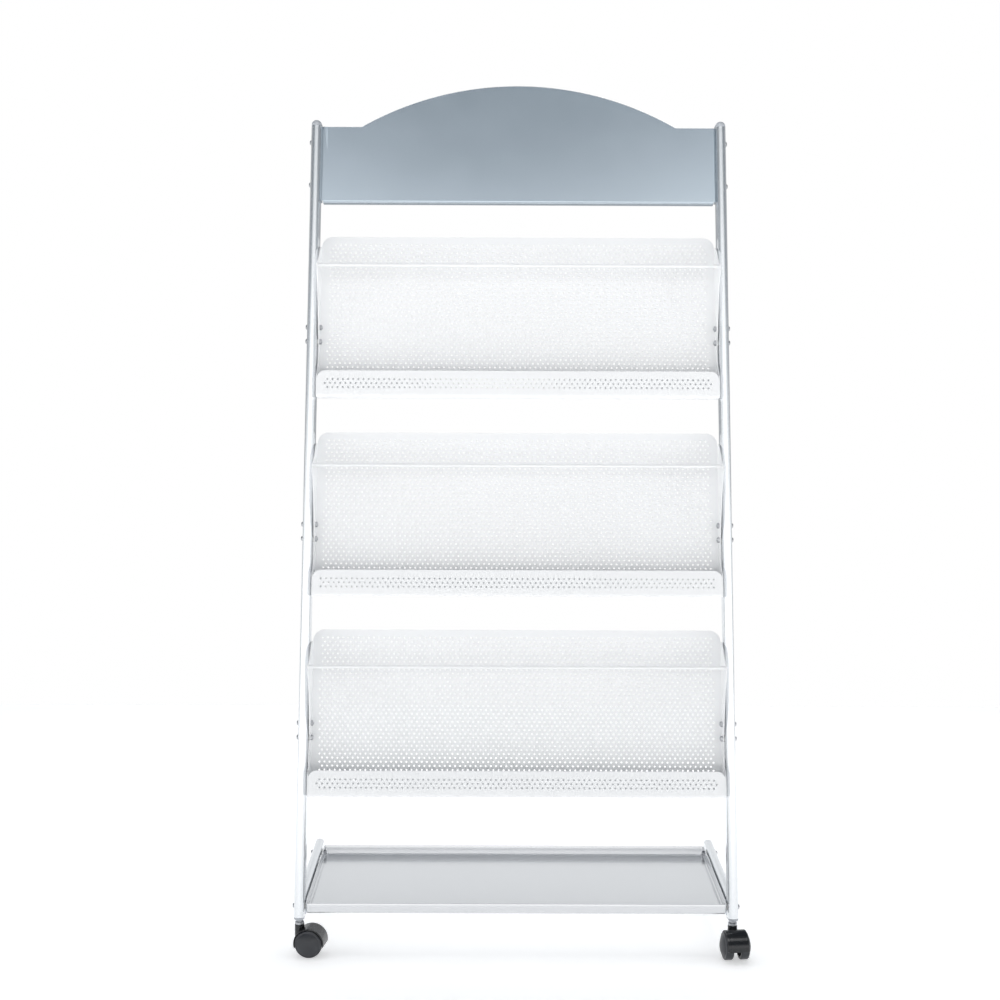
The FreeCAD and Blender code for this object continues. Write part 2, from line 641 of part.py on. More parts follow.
for hand, side in SIDES.items():
    export(hand + "_leg_tube", leg_tube(side))
    export(hand + "_base_rail", base_rail(side))
    export(hand + "_foot_plug", foot_plug(side))
    export(hand + "_leg_cap", leg_cap(side))
    export(hand + "_rail_cap", rail_cap(side))
    export(hand + "_rear_caster_socket", rear_socket(side))

export("header_panel", header_panel())
header_screws, header_nuts = header_fixings()
export("header_screws", header_screws)
export("header_nuts", header_nuts)

for tier, tier_name in enumerate(TIER_NAMES):
    export(tier_name + "_pocket_perforated_sheet", pocket_sheet(tier))
    export(tier_name + "_pocket_front_wire", pocket_wire(tier))
    for hand, side in SIDES.items():
        export(tier_name + "_pocket_" + hand + "_end_plate", pocket_wing(tier, side))
    screws, nuts, washers = pocket_fixings(tier)
    export(tier_name + "_pocket_screws", screws)
    export(tier_name + "_pocket_nuts", nuts)
    export(tier_name + "_pocket_washers", washers)

export("bottom_tray", tray())
tray_screws, tray_nuts, tray_spacers = tray_fixings()
export("tray_screws", tray_screws)
export("tray_nuts", tray_nuts)
export("tray_spacers", tray_spacers)

for name in CASTER_HEADINGS:
    frame = caster_frame(name)
    export(name + "_caster_stem", placed(caster_stem(), frame))
    export(name + "_caster_body", placed(caster_body(), frame))
    export(name + "_caster_axle", placed(axle_cylinder(AXLE_RADIUS, AXLE_HALF_LENGTH), frame))
    export(name + "_caster_wheel_a", placed(caster_wheel(-1), frame))
    export(name + "_caster_wheel_b", placed(caster_wheel(1), frame))
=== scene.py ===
import json
import math

import bpy
from mathutils import Matrix, Vector


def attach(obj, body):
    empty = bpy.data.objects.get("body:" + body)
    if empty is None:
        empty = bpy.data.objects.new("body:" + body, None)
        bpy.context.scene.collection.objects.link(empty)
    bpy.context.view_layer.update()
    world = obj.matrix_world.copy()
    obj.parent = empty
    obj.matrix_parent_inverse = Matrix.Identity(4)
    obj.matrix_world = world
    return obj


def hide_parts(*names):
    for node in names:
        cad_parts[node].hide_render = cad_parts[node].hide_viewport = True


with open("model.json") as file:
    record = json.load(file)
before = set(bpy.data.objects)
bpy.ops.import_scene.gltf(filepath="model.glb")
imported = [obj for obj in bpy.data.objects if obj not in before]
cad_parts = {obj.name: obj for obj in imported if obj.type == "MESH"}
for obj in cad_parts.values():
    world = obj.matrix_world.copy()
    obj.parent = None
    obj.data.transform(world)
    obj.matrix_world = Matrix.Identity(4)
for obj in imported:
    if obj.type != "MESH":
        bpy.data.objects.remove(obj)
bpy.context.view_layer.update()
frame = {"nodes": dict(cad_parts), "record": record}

# ---------------------------------------------------------------------------
# The rack's dimensions, in millimetres, as the CAD has them.
# ---------------------------------------------------------------------------
MM = 0.001
LEG_SPACING = 630.0
LEG_LEAN = math.radians(8.0)
LEG_SPLAY = math.radians(0.86)
LEG_LENGTH = 1162.0
TUBE_WIDTH = 15.0
TUBE_DEPTH = 30.0
FOOT_Z = 52.0
FOOT_Y = -129.5
FOOT_DOME = 4.0
CAP_DOME = 8.0
RAIL_BOTTOM = 52.0
RAIL_LENGTH = 298.0
RAIL_CAP_DOME = 5.0
RAIL_COPE_START = 9.5
TUBE_EDGE = 0.3

HEADER_FACE = 10.0
HEADER_SHEET = 1.5
HEADER_BOTTOM = 1047.5
HEADER_SHOULDER = 1159.5
HEADER_ARCH_CHORD = 462.0
HEADER_ARCH_RISE = 61.5
HEADER_SIDE_FLANGE = 20.0
HEADER_BOTTOM_FLANGE = 17.0
HEADER_BEND = 3.0

TIER_NAMES = ("lower", "middle", "upper")
TIER_PITCH = 290.0
TIER_BOTTOM = 180.0
POCKET_SHEET = 1.2
POCKET_BACK = -9.0
POCKET_FRONT = 26.0
POCKET_HEIGHT = 240.0
LIP_HEIGHT = 38.0
POCKET_BEND = 4.0
PANEL_CORNER = 16.0
LIP_CORNER = 12.0
WING_GAP = 1.5
WING_BACK_RADIUS = 5.0
WING_FRONT_RADIUS = 8.0
WING_TOP = 224.0
WING_CURVE = (
    (26.0, 26.0), (24.0, 33.5), (17.5, 38.8), (10.5, 46.0), (6.4, 57.0), (5.2, 70.0),
    (6.6, 83.0), (11.0, 95.0), (20.0, 119.0), (29.0, 143.0), (41.0, 166.0), (50.0, 179.0),
    (53.2, 185.5), (51.8, 191.0), (46.5, 194.6), (40.0, 197.2), (27.0, 206.5), (17.0, 216.5),
    (6.0, 222.6), (-4.0, 224.0),
)
WIRE_RADIUS = 2.25
WIRE_FRONT = 47.0
WIRE_HEIGHT = 189.0
WIRE_STANDOUT = 1.0
WIRE_TIP = 0.8

TRAY_WIDTH = 611.0
TRAY_FRONT = -8.0
TRAY_DEPTH = 280.0
TRAY_BOTTOM = 63.0
TRAY_TOP = 78.0
TRAY_SHEET = 1.2
TRAY_CORNER = 5.0
TRAY_BEND = 3.0

SIDES = {"left": -1, "right": 1}

# Z up between the legs, leaning with them; heights on the pockets and the header are along it.
TIER_FRAME = Matrix.Translation((0, FOOT_Y, FOOT_Z)) @ Matrix.Rotation(-LEG_LEAN, 4, "X")


def leg_frame(side):
    """Z up the leg's centre line, X across the rack, -Y forwards."""
    base = Matrix.Translation((side * LEG_SPACING / 2, FOOT_Y, FOOT_Z))
    return base @ Matrix.Rotation(-LEG_LEAN, 4, "X") @ Matrix.Rotation(-side * LEG_SPLAY, 4, "Y")


def half_width(height, inset):
    """Half the clear width at a height in the tier frame, inset from the legs' centre lines."""
    return LEG_SPACING / 2 - inset / math.cos(LEG_SPLAY) - height * math.tan(LEG_SPLAY)


# ---------------------------------------------------------------------------
# Materials
# ---------------------------------------------------------------------------
NOISE_LOW = 0.3
NOISE_HIGH = 0.7

# Noise scales in cycles per metre, bump depths in metres.
FLAKE_SCALE = 700.0
CLOUD_SCALE = 7.0
MARK_SCALE = 24.0
PEEL_SCALE = 320.0
PEEL_DEPTH = 0.00025
CLOUD_SPREAD = 0.35
MOTTLE_SCALE = 420.0
PLATING_SCALE = 1300.0
GRAIN_SCALE = 2400.0
GRAIN_DEPTH = 0.00008
DRIFT_SCALE = 60.0
PATCH_SCALE = 90.0
SPARK_SCALE = 1400.0
SPARK_DEPTH = 0.00006


def new_material(name, base, metallic, roughness):
    """A principled material, with its nodes, links and shader."""
    mat = bpy.data.materials.new(name)
    mat.use_nodes = True
    shader = mat.node_tree.nodes["Principled BSDF"]
    shader.inputs["Base Color"].default_value = (*base, 1)
    shader.inputs["Metallic"].default_value = metallic
    shader.inputs["Roughness"].default_value = roughness
    return mat, mat.node_tree.nodes, mat.node_tree.links, shader


def noise(nodes, links, scale, detail=2.0):
    """Noise in the object's own coordinates, scale in cycles per metre."""
    coords = nodes.new("ShaderNodeTexCoord")
    tex = nodes.new("ShaderNodeTexNoise")
    tex.inputs["Scale"].default_value = scale
    tex.inputs["Detail"].default_value = detail
    links.new(coords.outputs["Object"], tex.inputs["Vector"])
    return tex.outputs["Fac"]


def remap(nodes, links, value, low, high, from_low=NOISE_LOW, from_high=NOISE_HIGH):
    """Value stretched from one range to another and clamped there."""
    node = nodes.new("ShaderNodeMapRange")
    node.inputs["From Min"].default_value = from_low
    node.inputs["From Max"].default_value = from_high
    node.inputs["To Min"].default_value = low
    node.inputs["To Max"].default_value = high
    links.new(value, node.inputs["Value"])
    return node.outputs["Result"]


def tint(nodes, links, value, low, high):
    """Colour between low and high by value."""
    ramp = nodes.new("ShaderNodeValToRGB")
    ramp.color_ramp.elements[0].position = NOISE_LOW
    ramp.color_ramp.elements[1].position = NOISE_HIGH
    ramp.color_ramp.elements[0].color = (*low, 1)
    ramp.color_ramp.elements[1].color = (*high, 1)
    links.new(value, ramp.inputs["Fac"])
    return ramp.outputs["Color"]


def plus(nodes, links, a, b, amount):
    """a plus amount times b."""
    node = nodes.new("ShaderNodeMath")
    node.operation = "MULTIPLY_ADD"
    node.inputs[1].default_value = amount
    links.new(b, node.inputs[0])
    links.new(a, node.inputs[2])
    return node.outputs[0]


def scaled(colour, factor):
    return tuple(min(1.0, c * factor) for c in colour)


def bumped(nodes, links, shader, height, strength, distance):
    """Height as a bump on the shader's normal, distance in metres."""
    bump = nodes.new("ShaderNodeBump")
    bump.inputs["Strength"].default_value = strength
    bump.inputs["Distance"].default_value = distance
    links.new(height, bump.inputs["Height"])
    links.new(bump.outputs["Normal"], shader.inputs["Normal"])


def powder_coat(name, base, metallic, roughness, peel, flake=0.06, cloud=0.04):
    """Powder-coated sheet or tube: orange peel, fine flake and faint handling marks."""
    mat, nodes, links, shader = new_material(name, base, metallic, roughness)
    fine = noise(nodes, links, FLAKE_SCALE, 1.0)
    broad = noise(nodes, links, CLOUD_SCALE, 3.0)
    ratio = flake / cloud
    middle = 0.5 + 0.5 * ratio
    grade = remap(nodes, links, plus(nodes, links, broad, fine, ratio), NOISE_LOW, NOISE_HIGH,
                  middle - CLOUD_SPREAD, middle + CLOUD_SPREAD)
    links.new(tint(nodes, links, grade, scaled(base, 1 - cloud), scaled(base, 1 + cloud)),
              shader.inputs["Base Color"])
    marks = noise(nodes, links, MARK_SCALE, 4.0)
    links.new(remap(nodes, links, marks, roughness * 0.97, roughness * 1.04),
              shader.inputs["Roughness"])
    bumped(nodes, links, shader, noise(nodes, links, PEEL_SCALE), peel, PEEL_DEPTH)
    return mat


def zinc(name, base):
    """Zinc-plated steel: fine turned grain and mottled passivation."""
    mat, nodes, links, shader = new_material(name, base, 1.0, 0.34)
    mottle = noise(nodes, links, MOTTLE_SCALE, 3.0)
    links.new(tint(nodes, links, mottle, scaled(base, 0.88), scaled(base, 1.08)),
              shader.inputs["Base Color"])
    links.new(remap(nodes, links, noise(nodes, links, PLATING_SCALE), 0.26, 0.42),
              shader.inputs["Roughness"])
    bumped(nodes, links, shader, noise(nodes, links, GRAIN_SCALE), 0.15, GRAIN_DEPTH)
    return mat


def moulded(name, base, roughness, texture=0.08):
    """Injection-moulded plastic with a fine spark-eroded texture."""
    mat, nodes, links, shader = new_material(name, base, 0.0, roughness)
    drift = noise(nodes, links, DRIFT_SCALE, 3.0)
    links.new(tint(nodes, links, drift, scaled(base, 0.85), scaled(base, 1.2)),
              shader.inputs["Base Color"])
    patches = noise(nodes, links, PATCH_SCALE, 3.0)
    links.new(remap(nodes, links, patches, roughness * 0.94, roughness * 1.06),
              shader.inputs["Roughness"])
    bumped(nodes, links, shader, noise(nodes, links, SPARK_SCALE), texture, SPARK_DEPTH)
    return mat


WHITE = (0.93, 0.935, 0.94)
MATERIALS = {
    "silver_tube": powder_coat("silver_tube_coat", (0.80, 0.82, 0.84), 0.88, 0.22,
                               peel=0.02, flake=0.01, cloud=0.015),
    "silver_cap": moulded("silver_cap_plastic", (0.42, 0.44, 0.47), 0.38, 0.1),
    "silver_sheet": powder_coat("silver_sheet_coat", (0.53, 0.60, 0.66), 0.88, 0.17,
                                peel=0.015, flake=0.005, cloud=0.01),
    "white_sheet": powder_coat("white_sheet_coat", WHITE, 0.0, 0.45,
                               peel=0.08, flake=0.005, cloud=0.01),
    "white_wire": powder_coat("white_wire_coat", WHITE, 0.0, 0.40,
                              peel=0.08, flake=0.005, cloud=0.01),
    "grey_sheet": powder_coat("grey_sheet_coat", (0.73, 0.74, 0.755), 0.72, 0.17,
                              peel=0.006, flake=0.005, cloud=0.01),
    "white_washer": moulded("white_washer_nylon", (0.78, 0.78, 0.76), 0.5),
    "zinc": zinc("zinc_plate", (0.46, 0.47, 0.49)),
    "black_plastic": moulded("black_hood_plastic", (0.012, 0.013, 0.015), 0.22),
    "black_wheel": moulded("black_wheel_plastic", (0.024, 0.026, 0.031), 0.36),
}
WELD = powder_coat("coated_weld_bead", (0.66, 0.69, 0.74), 0.8, 0.40, peel=0.5)

for part in frame["record"]["subparts"]:
    node = frame["nodes"][part["node"]]
    node.data.materials.clear()
    node.data.materials.append(MATERIALS[part["material_slot"]])


# ---------------------------------------------------------------------------
# Mesh helpers.  Shapes are built in millimetres and placed by a matrix.
# ---------------------------------------------------------------------------
SHARP_ANGLE = math.radians(35.0)
BROKEN_EDGE = 0.3
MITRE_LIMIT = 0.4

# Tube ends and their domed caps.
END_SEGMENTS = 14
CAP_STEPS = 8
CAP_SEAM = 0.25
CAP_LIP = 0.6
CAP_FLAT = 0.4


def signed_volume(verts, faces):
    """Six times a closed mesh's volume, negative when its faces look inwards."""
    total = 0.0
    for face in faces:
        a = verts[face[0]]
        for i in range(1, len(face) - 1):
            b, c = verts[face[i]], verts[face[i + 1]]
            total += a[0] * (b[1] * c[2] - b[2] * c[1])
            total += a[1] * (b[2] * c[0] - b[0] * c[2])
            total += a[2] * (b[0] * c[1] - b[1] * c[0])
    return total


def mesh_object(name, verts, faces, matrix):
    """Object from a closed mesh in millimetres, smooth except over sharp edges."""
    if signed_volume(verts, faces) < 0:
        faces = [tuple(reversed(face)) for face in faces]
    placed = [matrix @ Vector(v) * MM for v in verts]
    mesh = bpy.data.meshes.new(name)
    mesh.from_pydata(placed, [], faces)
    mesh.validate()
    mesh.shade_smooth()
    mesh.set_sharp_from_angle(angle=SHARP_ANGLE)
    obj = bpy.data.objects.new(name, mesh)
    bpy.context.scene.collection.objects.link(obj)
    return obj


def finish_piece(obj, body, slot, nodes, material=None):
    """Gives a piece its material and its body, and hides the CAD nodes that it stands for."""
    obj.data.materials.append(material or MATERIALS[slot])
    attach(obj, body)
    if nodes:
        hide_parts(*nodes)
    return obj


def loft(rings, closed=False):
    """Closed tube through rings of equal length; the ends are filled unless closed is true."""
    verts = [v for ring in rings for v in ring]
    count = len(rings[0])
    faces = []
    spans = len(rings) if closed else len(rings) - 1
    for r in range(spans):
        s = (r + 1) % len(rings)
        for i in range(count):
            j = (i + 1) % count
            faces.append((r * count + i, r * count + j, s * count + j, s * count + i))
    if not closed:
        faces.append(tuple(reversed(range(count))))
        last = (len(rings) - 1) * count
        faces.append(tuple(last + i for i in range(count)))
    return verts, faces


def moved(part, matrix):
    verts, faces = part
    return [matrix @ Vector(v) for v in verts], faces


def quarter(steps):
    """Angles from 0 to a right angle."""
    return [math.pi / 2 * i / steps for i in range(steps + 1)]


def stadium(inset, z):
    """The flat-oval tube's outline, long side along Y."""
    r = TUBE_WIDTH / 2 - inset
    half = TUBE_DEPTH / 2 - TUBE_WIDTH / 2
    ring = []
    for centre, start in ((half, 0.0), (-half, math.pi)):
        for i in range(END_SEGMENTS + 1):
            a = start + math.pi * i / END_SEGMENTS
            ring.append((r * math.cos(a), centre + r * math.sin(a), z))
    return ring


def domed_cap(height, base):
    """Rounded cap on a tube's end, standing on z = base."""
    rings = [stadium(CAP_SEAM, base), stadium(0.0, base + TUBE_EDGE)]
    radius = min(height - CAP_LIP, TUBE_WIDTH / 2 - CAP_FLAT)
    for a in quarter(CAP_STEPS):
        rings.append(stadium(radius * (1 - math.cos(a)), base + height - radius + radius * math.sin(a)))
    return loft(rings)


def revolve(profile, segments):
    """Solid of revolution about Z from (radius, z) points that start and end on the axis."""
    verts, faces, rows = [], [], []
    for radius, z in profile:
        if radius == 0:
            rows.append([len(verts)])
            verts.append((0, 0, z))
        else:
            rows.append(list(range(len(verts), len(verts) + segments)))
            for i in range(segments):
                a = 2 * math.pi * i / segments
                verts.append((radius * math.cos(a), radius * math.sin(a), z))
    for low, high in zip(rows, rows[1:]):
        for i in range(segments):
            j = (i + 1) % segments
            if len(low) == 1:
                faces.append((low[0], high[j], high[i]))
            elif len(high) == 1:
                faces.append((low[i], low[j], high[0]))
            else:
                faces.append((low[i], low[j], high[j], high[i]))
    return verts, faces


def plate(outline, thickness):
    """Flat plate from a closed outline in XY, thickness along Z, with small broken edges."""
    points = [Vector(p) for p in outline]
    following = points[1:] + points[:1]
    area = sum(p.x * q.y - q.x * p.y for p, q in zip(points, following))
    turn = 1 if area > 0 else -1
    inner = []
    for i, (b, c) in enumerate(zip(points, following)):
        n1 = (b - points[i - 1]).normalized().orthogonal()
        n2 = (c - b).normalized().orthogonal()
        n = (n1 + n2).normalized() * turn
        scale = 1 / max(MITRE_LIMIT, abs(n.dot(n1)))
        inner.append(b + n * BROKEN_EDGE * scale)
    rings = []
    for ring, z in ((inner, 0.0), (outline, BROKEN_EDGE),
                    (outline, thickness - BROKEN_EDGE), (inner, thickness)):
        rings.append([(p[0], p[1], z) for p in ring])
    return loft(rings)


def catmull(points, steps):
    """Smooth curve through points, steps to a span."""
    out = []
    for i in range(len(points) - 1):
        p0 = Vector(points[max(i - 1, 0)])
        p1 = Vector(points[i])
        p2 = Vector(points[i + 1])
        p3 = Vector(points[min(i + 2, len(points) - 1)])
        for s in range(steps):
            t = s / steps
            out.append(0.5 * (2 * p1 + (p2 - p0) * t + (2 * p0 - 5 * p1 + 4 * p2 - p3) * t * t
                              + (3 * p1 - p0 - 3 * p2 + p3) * t ** 3))
    out.append(Vector(points[-1]))
    return out


# ---------------------------------------------------------------------------
# Side frames
# ---------------------------------------------------------------------------
WELD_RADIUS = 1.5
WELD_RIPPLE = 0.12
WELD_PITCH = 1.6
WELD_SEGMENTS = 8
WELD_WAVE = 2.1


def rail_frame(side):
    """Z runs backwards along the rail, its long side stands upright."""
    base = Matrix.Translation((side * LEG_SPACING / 2, FOOT_Y, RAIL_BOTTOM + TUBE_DEPTH / 2))
    return base @ Matrix.Rotation(math.radians(-90), 4, "X")


def coped_rail():
    """Rail whose front end follows the leg's rounded back."""
    r = TUBE_WIDTH / 2
    flat = TUBE_DEPTH / 2 - r
    front = []
    for x, y, _ in stadium(0.0, 0.0):
        off = min(r, abs(x))
        depth = max(RAIL_COPE_START, flat + math.sqrt(r * r - off * off))
        lean = (TUBE_DEPTH / 2 - y) * math.tan(LEG_LEAN)
        front.append((x, y, depth / math.cos(LEG_LEAN) + lean))
    return loft([front, stadium(0.0, RAIL_LENGTH - RAIL_CAP_DOME)]), front


def divided(ring, pitch):
    """Points about a pitch apart along a closed ring."""
    points = []
    for p, q in zip(ring, ring[1:] + ring[:1]):
        steps = max(1, round(math.dist(p, q) / pitch))
        points += [tuple(a + (b - a) * k / steps for a, b in zip(p, q)) for k in range(steps)]
    return points


def weld_bead(path):
    """Weld bead along a closed path of points, its thickness rippling."""
    rings = []
    count = len(path)
    for i in range(count):
        p = Vector(path[i])
        tangent = (Vector(path[(i + 1) % count]) - Vector(path[i - 1])).normalized()
        side = tangent.cross(Vector((0, 0, 1))).normalized()
        up = side.cross(tangent)
        r = WELD_RADIUS * (1 + WELD_RIPPLE * math.sin(i * WELD_WAVE))
        turns = [2 * math.pi * k / WELD_SEGMENTS for k in range(WELD_SEGMENTS)]
        rings.append([tuple(p + side * r * math.cos(a) + up * r * math.sin(a)) for a in turns])
    return loft(rings, closed=True)


def rack_piece(name, shape, matrix, slot, *nodes, material=None):
    """A closed mesh as a piece of the rack's own body."""
    finish_piece(mesh_object(name, *shape, matrix), "rack", slot, nodes, material)


for hand, side in SIDES.items():
    tube = loft([stadium(TUBE_EDGE, FOOT_DOME), stadium(0.0, FOOT_DOME + TUBE_EDGE),
                 stadium(0.0, LEG_LENGTH - TUBE_EDGE), stadium(TUBE_EDGE, LEG_LENGTH)])
    rack_piece(hand + "_leg", tube, leg_frame(side), "silver_tube", hand + "_leg_tube")
    rack_piece(hand + "_leg_end_cap", domed_cap(CAP_DOME, LEG_LENGTH), leg_frame(side),
               "silver_cap", hand + "_leg_cap")
    rail, front = coped_rail()
    rack_piece(hand + "_rail", rail, rail_frame(side), "silver_tube", hand + "_base_rail")
    rack_piece(hand + "_rail_weld", weld_bead(divided(front, WELD_PITCH)), rail_frame(side),
               "silver_tube", material=WELD)
    rack_piece(hand + "_rail_end_cap", domed_cap(RAIL_CAP_DOME, RAIL_LENGTH - RAIL_CAP_DOME),
               rail_frame(side), "silver_cap", hand + "_rail_cap")


# ---------------------------------------------------------------------------
# Header board
# ---------------------------------------------------------------------------
HEADER_NOTCH = 1.2
HEADER_ARCH_MARGIN = 8.0
HEADER_ARCH_STEPS = 40
HEADER_EDGE = 0.35
HEADER_FOLD_STEPS = 6
NEAR = 1e-6
BEVEL_ANGLE = math.radians(55)


def header_board():
    """Folded board about its mid-surface: arched face, side flanges and a bottom flange bent back."""
    bend = HEADER_BEND - HEADER_SHEET / 2
    inset = TUBE_WIDTH / 2 + HEADER_SHEET / 2
    chord = HEADER_ARCH_CHORD / 2
    radius = (chord ** 2 + HEADER_ARCH_RISE ** 2) / (2 * HEADER_ARCH_RISE)
    face_y = -HEADER_FACE + HEADER_SHEET / 2
    rows = [HEADER_BOTTOM + HEADER_SHEET / 2 + bend, HEADER_SHOULDER]
    fan = [chord * math.sin(a) for a in quarter(HEADER_ARCH_STEPS)]
    arch_xs = sorted({-x for x in fan} | set(fan))
    verts, faces, index = [], [], {}

    def vertex(key, x, y, z):
        if key not in index:
            index[key] = len(verts)
            verts.append((x, y, z))
        return index[key]

    def edge_x(z):
        return half_width(z, inset) - bend

    def columns_at(z):
        reach = edge_x(z)
        shoulder = [-reach, -reach + HEADER_NOTCH, -chord - HEADER_ARCH_MARGIN]
        return shoulder + arch_xs + [-x for x in reversed(shoulder)]

    def fold(depth):
        """(step, distance out, distance back) round a bend and on to a flange's free edge."""
        path = [(k, bend * math.sin(a), bend * (1 - math.cos(a)))
                for k, a in enumerate(quarter(HEADER_FOLD_STEPS)) if k]
        return path + [(len(path) + 1, bend, depth - HEADER_SHEET / 2)]

    # Front face: columns across, rows up, and the arch as one more row.
    grid = [[vertex(("f", i, r), x, face_y, z) for i, x in enumerate(columns_at(z))]
            for r, z in enumerate(rows)]
    arch = []
    for i, x in enumerate(columns_at(HEADER_SHOULDER)):
        if abs(x) < chord - NEAR:
            rise = math.sqrt(radius ** 2 - x * x) - (radius - HEADER_ARCH_RISE)
            arch.append(vertex(("t", i), x, face_y, HEADER_SHOULDER + rise))
        else:
            arch.append(grid[-1][i])
    grid.append(arch)
    count = len(arch)
    for low, high in zip(grid, grid[1:]):
        for i in range(count - 1):
            quad = [low[i], low[i + 1], high[i + 1], high[i]]
            quad = [v for k, v in enumerate(quad) if v not in quad[:k]]
            if len(quad) >= 3:
                faces.append(tuple(quad))

    # Side flanges.
    for sign, column in ((-1, 0), (1, count - 1)):
        previous = [grid[r][column] for r in range(len(rows))]
        for k, out, back in fold(HEADER_SIDE_FLANGE):
            line = [vertex(("s", sign, k, r), sign * (edge_x(z) + out), face_y + back, z)
                    for r, z in enumerate(rows)]
            for r in range(len(rows) - 1):
                faces.append((previous[r], line[r], line[r + 1], previous[r + 1]))
            previous = line

    # Bottom flange, clear of the corners.
    previous = grid[0][1:count - 1]
    xs = columns_at(rows[0])[1:count - 1]
    for k, down, back in fold(HEADER_BOTTOM_FLANGE):
        line = [vertex(("b", k, i), x, face_y + back, rows[0] - down) for i, x in enumerate(xs)]
        for i in range(len(xs) - 1):
            faces.append((previous[i + 1], previous[i], line[i], line[i + 1]))
        previous = line
    return verts, faces


def thickened(name, verts, faces, matrix, thickness, edge):
    """Sheet of even thickness about a mid-surface, its edges broken and its flat faces shaded flat."""
    mesh = bpy.data.meshes.new(name)
    mesh.from_pydata([matrix @ Vector(v) * MM for v in verts], [], faces)
    mesh.shade_smooth()
    obj = bpy.data.objects.new(name, mesh)
    bpy.context.scene.collection.objects.link(obj)
    solid = obj.modifiers.new("thickness", "SOLIDIFY")
    solid.thickness = thickness * MM
    solid.offset = 0
    solid.use_even_offset = True
    rim = obj.modifiers.new("edges", "BEVEL")
    rim.width = edge * MM
    rim.segments = 2
    rim.limit_method = "ANGLE"
    rim.angle_limit = BEVEL_ANGLE
    flat = obj.modifiers.new("flat_faces", "WEIGHTED_NORMAL")
    flat.weight = 100
    graph = bpy.context.evaluated_depsgraph_get()
    final = bpy.data.meshes.new_from_object(obj.evaluated_get(graph))
    obj.modifiers.clear()
    obj.data = final
    return obj


board = thickened("header_board", *header_board(), TIER_FRAME, HEADER_SHEET, HEADER_EDGE)
finish_piece(board, "rack", "silver_sheet", ["header_panel"])


# ---------------------------------------------------------------------------
# Magazine pockets
# ---------------------------------------------------------------------------
HOLE_PITCH = 7.5
HOLE_ROW = 5.85
HOLE_RADIUS = 1.4
HOLE_SIDES = 10
SIDE_MARGIN = 7.0
TOP_MARGIN = 8.0
LIP_MARGIN = 7.0
BEND_MARGIN = 4.0
FOLD_STEPS = 5
CORNER_STEPS = 10
CORNER_CROWDING = 1.6
WING_BACK_STEPS = 6
WING_FRONT_STEPS = 8
WING_CURVE_STEPS = 6
WIRE_SEGMENTS = 24
WIRE_TIP_STEPS = 5
TINY = 1e-9


def pocket_path():
    """The sheet's mid-surface from the back panel's top edge, down and round to the lip's top edge.

    Each row is the distance along the sheet, the distance ahead of the legs, the height, and the
    two parts of the normal that points into the pocket.
    """
    half = POCKET_SHEET / 2
    bend = POCKET_BEND - half
    back = POCKET_BACK - half
    front = POCKET_FRONT - half
    path = [(0.0, back, POCKET_HEIGHT, 1.0, 0.0)]
    start = POCKET_HEIGHT - POCKET_BEND
    for a in quarter(FOLD_STEPS):
        path.append((start + bend * a, back + bend * (1 - math.cos(a)),
                     half + bend * (1 - math.sin(a)), math.cos(a), math.sin(a)))
    start = path[-1][0] + (front - back - 2 * bend)
    for a in quarter(FOLD_STEPS):
        path.append((start + bend * a, front - bend * (1 - math.sin(a)),
                     half + bend * (1 - math.cos(a)), -math.sin(a), math.cos(a)))
    end = path[-1][0] + LIP_HEIGHT - POCKET_BEND
    return path + [(end, front, LIP_HEIGHT, -1.0, 0.0)]


def cell_pattern():
    """Triangles between a cell's six rim points, 0 to 5, and its hole's points, 6 onwards."""
    p, r = HOLE_PITCH / 2, HOLE_ROW / 2
    rim_points = [(-p, -r), (0, -r), (p, -r), (p, r), (0, r), (-p, r)]
    corners = len(rim_points)
    start = math.atan2(-r, -p)
    hole = [start + 2 * math.pi * (i + 0.5) / HOLE_SIDES for i in range(HOLE_SIDES)]
    rim = [math.atan2(y, x) for x, y in rim_points]
    rim = [a if a >= start - TINY else a + 2 * math.pi for a in rim]
    rim_loop = rim + [rim[0] + 2 * math.pi, math.inf]
    hole_loop = hole + [hole[0] + 2 * math.pi, math.inf]
    triangles = []
    i = j = 0
    while i < corners or j < HOLE_SIDES:
        a, b = i % corners, corners + j % HOLE_SIDES
        if rim_loop[i + 1] <= hole_loop[j + 1]:
            i += 1
            triangles.append((a, i % corners, b))
        else:
            j += 1
            triangles.append((a, corners + j % HOLE_SIDES, b))
    offsets = [(HOLE_RADIUS * math.cos(a), HOLE_RADIUS * math.sin(a)) for a in hole]
    return triangles, offsets


